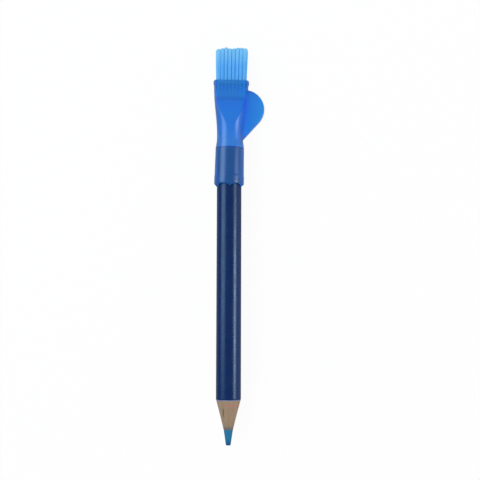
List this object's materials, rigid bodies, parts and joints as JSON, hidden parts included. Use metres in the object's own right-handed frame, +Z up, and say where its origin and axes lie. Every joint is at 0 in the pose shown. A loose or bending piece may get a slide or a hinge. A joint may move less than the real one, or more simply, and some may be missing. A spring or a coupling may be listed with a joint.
{
  "type": "fabric marking pencil",
  "caption": "Round wooden fabric marking pencil, sharpened to a blunt blue point, with a push-on translucent blue cap that ends in a flat brush and carries an anti-roll fin.",
  "frame": {"origin": "on the table that the pencil lies on, under the middle of its bounding box", "axes": "+Y along the pencil from its point to its brush, +Z up, the fin of the cap reaches down towards +X"},
  "size_m": [0.0146, 0.1182, 0.0088],
  "materials": {
    "pencil_wood": "bare, sharpened, slightly grey from the core",
    "marking_core": "waxy blue chalk, matt",
    "navy_lacquer": "glossy dark blue pencil lacquer",
    "cap_plastic": "moulded translucent blue, smooth",
    "bristle_nylon": "translucent light blue nylon filaments"
  },
  "bodies": {
    "pencil": {"barrel_half_front": "pencil_wood", "barrel_half_back": "pencil_wood", "marking_core": "marking_core", "lacquer_coat": "navy_lacquer"},
    "cap": {"brush_cap": "cap_plastic", "bristle_row_1": "bristle_nylon", "bristle_row_2": "bristle_nylon", "bristle_row_3": "bristle_nylon", "bristle_row_4": "bristle_nylon"}
  },
  "joints": [
    {"name": "cap_pull", "type": "slide", "parent": "pencil", "child": "cap", "axis": [0, 1, 0], "range_m": [0, 0.03]}
  ]
}
